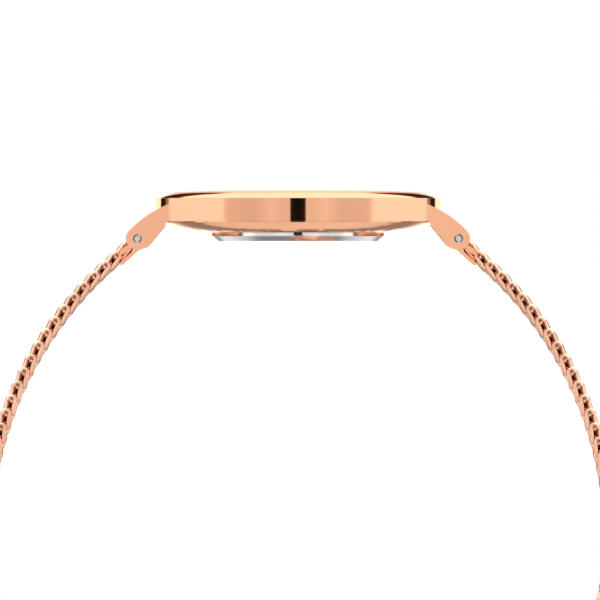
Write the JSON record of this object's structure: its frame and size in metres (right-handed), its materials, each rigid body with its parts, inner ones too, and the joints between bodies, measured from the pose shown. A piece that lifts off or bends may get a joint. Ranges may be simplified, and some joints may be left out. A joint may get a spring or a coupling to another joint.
{
  "type": "smartwatch",
  "caption": "Slim round hybrid smartwatch with hands, pull-out crown, steel caseback and a woven metal mesh strap with a sliding clasp.",
  "frame": {"origin": "centre of the caseback's outer face", "axes": "+Z out through the crystal, +X towards 6 o'clock, +Y towards the crown at 3 o'clock"},
  "size_m": [0.0794, 0.0384, 0.0809],
  "materials": {
    "rose_gold": "polished rose-gold coating on steel",
    "rose_gold_mesh": "polished rose-gold coating on woven steel wire",
    "caseback_steel": "turned and brushed",
    "steel": "satin",
    "brass": "plain",
    "crystal": "polished mineral glass",
    "white_nylon": "matt",
    "seal_rubber": "matt",
    "copper_wire": "enamelled winding",
    "board_green": "solder mask",
    "chip_black": "matt",
    "dial_white": "silky",
    "hands_gold": "polished"
  },
  "bodies": {
    "case": {"mid_case": "rose_gold", "bezel": "rose_gold", "crystal": "crystal", "crystal_gasket": "white_nylon", "caseback": "caseback_steel", "caseback_gasket": "seal_rubber", "main_plate": "brass", "train_bridge": "brass", "bridge_screws": "steel", "motor_stator": "steel", "motor_coil": "copper_wire", "circuit_board": "board_green", "radio_chip": "chip_black", "quartz_can": "steel", "coin_cell": "steel", "battery_contact": "steel", "movement_holder": "white_nylon", "dial": "dial_white", "dial_markers": "hands_gold", "dial_ring": "dial_white", "crown_tube": "steel", "bar_tubes": "steel", "bar_springs": "steel"},
    "minute_hand": {"minute_hand": "hands_gold", "centre_wheel": "brass"},
    "hour_hand": {"hour_hand": "hands_gold", "hour_wheel": "brass"},
    "minute_wheel": {"minute_wheel": "brass"},
    "intermediate_wheel": {"intermediate_wheel": "brass"},
    "rotor": {"rotor": "steel"},
    "crown_slide": {"crown_gasket": "seal_rubber"},
    "crown": {"crown": "rose_gold", "crown_stem": "steel"},
    "bar_tip_12_front": {"bar_tip_12_front": "steel"},
    "bar_tip_12_back": {"bar_tip_12_back": "steel"},
    "bar_tip_6_front": {"bar_tip_6_front": "steel"},
    "bar_tip_6_back": {"bar_tip_6_back": "steel"},
    "strap_12_1": {"end_piece_12": "rose_gold", "mesh_12_1": "rose_gold_mesh"},
    "strap_12_2": {"mesh_12_2": "rose_gold_mesh"},
    "strap_12_3": {"mesh_12_3": "rose_gold_mesh"},
    "strap_12_4": {"mesh_12_4": "rose_gold_mesh"},
    "strap_12_5": {"mesh_12_5": "rose_gold_mesh"},
    "strap_12_6": {"mesh_12_6": "rose_gold_mesh", "hook_end": "rose_gold"},
    "strap_6_1": {"end_piece_6": "rose_gold", "mesh_6_1": "rose_gold_mesh"},
    "strap_6_2": {"mesh_6_2": "rose_gold_mesh"},
    "strap_6_3": {"mesh_6_3": "rose_gold_mesh"},
    "strap_6_4": {"mesh_6_4": "rose_gold_mesh"},
    "strap_6_5": {"mesh_6_5": "rose_gold_mesh"},
    "strap_6_6": {"mesh_6_6": "rose_gold_mesh"},
    "strap_6_7": {"mesh_6_7": "rose_gold_mesh"},
    "strap_6_8": {"mesh_6_8": "rose_gold_mesh"},
    "strap_6_tail": {"mesh_tail": "rose_gold_mesh", "tip_cap": "rose_gold"},
    "clasp": {"clasp_body": "rose_gold", "clasp_pins": "steel"},
    "clasp_cover": {"clasp_cover": "rose_gold"},
    "lock_plate": {"lock_plate": "rose_gold"}
  },
  "joints": [
    {"name": "minute_hand_turn", "type": "hinge", "parent": "case", "child": "minute_hand", "pos_m": [0, 0, 0.0045], "axis": [0, 0, -1], "continuous": true},
    {"name": "hour_hand_turn", "type": "hinge", "parent": "case", "child": "hour_hand", "pos_m": [0, 0, 0.0045], "axis": [0, 0, -1], "continuous": true},
    {"name": "minute_wheel_turn", "type": "hinge", "parent": "case", "child": "minute_wheel", "pos_m": [0, -0.0018, 0.0038], "axis": [0, 0, -1], "continuous": true},
    {"name": "intermediate_wheel_turn", "type": "hinge", "parent": "case", "child": "intermediate_wheel", "pos_m": [0, 0.0035, 0.003], "axis": [0, 0, -1], "continuous": true},
    {"name": "rotor_turn", "type": "hinge", "parent": "case", "child": "rotor", "pos_m": [0.0012, 0.00558, 0.003], "axis": [0, 0, -1], "continuous": true},
    {"name": "crown_pull", "type": "slide", "parent": "case", "child": "crown_slide", "axis": [0, 1, 0], "range_m": [0, 0.0008]},
    {"name": "crown_turn", "type": "hinge", "parent": "crown_slide", "child": "crown", "pos_m": [0, 0.019, 0.00365], "axis": [0, 1, 0], "continuous": true},
    {"name": "bar_tip_12_front_press", "type": "slide", "parent": "case", "child": "bar_tip_12_front", "axis": [0, 1, 0], "range_m": [0, 0.0012], "stiffness_N_per_m": 1500, "deforming": ["bar_springs"]},
    {"name": "bar_tip_12_back_press", "type": "slide", "parent": "case", "child": "bar_tip_12_back", "axis": [0, -1, 0], "range_m": [0, 0.0012], "stiffness_N_per_m": 1500, "deforming": ["bar_springs"]},
    {"name": "bar_tip_6_front_press", "type": "slide", "parent": "case", "child": "bar_tip_6_front", "axis": [0, 1, 0], "range_m": [0, 0.0012], "stiffness_N_per_m": 1500, "deforming": ["bar_springs"]},
    {"name": "bar_tip_6_back_press", "type": "slide", "parent": "case", "child": "bar_tip_6_back", "axis": [0, -1, 0], "range_m": [0, 0.0012], "stiffness_N_per_m": 1500, "deforming": ["bar_springs"]},
    {"name": "strap_12_pivot", "type": "hinge", "parent": "case", "child": "strap_12_1", "pos_m": [-0.0199, 0, 0.00031], "axis": [0, 1, 0], "range_deg": [-8, 95]},
    {"name": "strap_12_bend_1", "type": "hinge", "parent": "strap_12_1", "child": "strap_12_2", "pos_m": [-0.02983, 0, -0.00987], "axis": [0, 1, 0], "range_deg": [-0.69, 11.47]},
    {"name": "strap_12_bend_2", "type": "hinge", "parent": "strap_12_2", "child": "strap_12_3", "pos_m": [-0.03455, 0, -0.0178], "axis": [0, 1, 0], "range_deg": [-0.69, 11.47]},
    {"name": "strap_12_bend_3", "type": "hinge", "parent": "strap_12_3", "child": "strap_12_4", "pos_m": [-0.03761, 0, -0.02652], "axis": [0, 1, 0], "range_deg": [-0.69, 11.47]},
    {"name": "strap_12_bend_4", "type": "hinge", "parent": "strap_12_4", "child": "strap_12_5", "pos_m": [-0.03887, 0, -0.03567], "axis": [0, 1, 0], "range_deg": [-0.82, 13.73]},
    {"name": "strap_12_bend_5", "type": "hinge", "parent": "strap_12_5", "child": "strap_12_6", "pos_m": [-0.03793, 0, -0.04483], "axis": [0, 1, 0], "range_deg": [-1.09, 18.16]},
    {"name": "strap_6_pivot", "type": "hinge", "parent": "case", "child": "strap_6_1", "pos_m": [0.0199, 0, 0.00031], "axis": [0, 1, 0], "range_deg": [-95, 8]},
    {"name": "strap_6_bend_1", "type": "hinge", "parent": "strap_6_1", "child": "strap_6_2", "pos_m": [0.02983, 0, -0.00987], "axis": [0, 1, 0], "range_deg": [-11.47, 0.69]},
    {"name": "strap_6_bend_2", "type": "hinge", "parent": "strap_6_2", "child": "strap_6_3", "pos_m": [0.03455, 0, -0.0178], "axis": [0, 1, 0], "range_deg": [-11.47, 0.69]},
    {"name": "strap_6_bend_3", "type": "hinge", "parent": "strap_6_3", "child": "strap_6_4", "pos_m": [0.03761, 0, -0.02652], "axis": [0, 1, 0], "range_deg": [-11.47, 0.69]},
    {"name": "strap_6_bend_4", "type": "hinge", "parent": "strap_6_4", "child": "strap_6_5", "pos_m": [0.03887, 0, -0.03567], "axis": [0, 1, 0], "range_deg": [-13.73, 0.82]},
    {"name": "strap_6_bend_5", "type": "hinge", "parent": "strap_6_5", "child": "strap_6_6", "pos_m": [0.03793, 0, -0.04483], "axis": [0, 1, 0], "range_deg": [-18.16, 1.09]},
    {"name": "strap_6_bend_6", "type": "hinge", "parent": "strap_6_6", "child": "strap_6_7", "pos_m": [0.03417, 0, -0.05324], "axis": [0, 1, 0], "range_deg": [-18.27, 1.1]},
    {"name": "strap_6_bend_7", "type": "hinge", "parent": "strap_6_7", "child": "strap_6_8", "pos_m": [0.02797, 0, -0.06005], "axis": [0, 1, 0], "range_deg": [-18.27, 1.1]},
    {"name": "strap_6_bend_8", "type": "hinge", "parent": "strap_6_8", "child": "strap_6_tail", "pos_m": [0.01995, 0, -0.06457], "axis": [0, 1, 0], "range_deg": [-9.14, 0.55]},
    {"name": "clasp_slide", "type": "slide", "parent": "strap_6_tail", "child": "clasp", "axis": [-0.9381, 0, -0.3464], "range_m": [-0.0035, 0.0048]},
    {"name": "clasp_cover_open", "type": "hinge", "parent": "clasp", "child": "clasp_cover", "pos_m": [0.01511, 0, -0.06881], "axis": [0, -1, 0], "range_deg": [0, 100]},
    {"name": "lock_plate_open", "type": "hinge", "parent": "clasp", "child": "lock_plate", "pos_m": [0.00417, 0, -0.06805], "axis": [0, -1, 0], "range_deg": [0, 55]}
  ],
  "couplings": [
    {"joint": "hour_hand_turn", "follows": "minute_hand_turn", "ratio": 0.083333},
    {"joint": "minute_wheel_turn", "follows": "minute_hand_turn", "ratio": -0.33333},
    {"joint": "intermediate_wheel_turn", "follows": "minute_hand_turn", "ratio": -6},
    {"joint": "rotor_turn", "follows": "minute_hand_turn", "ratio": 30}
  ]
}
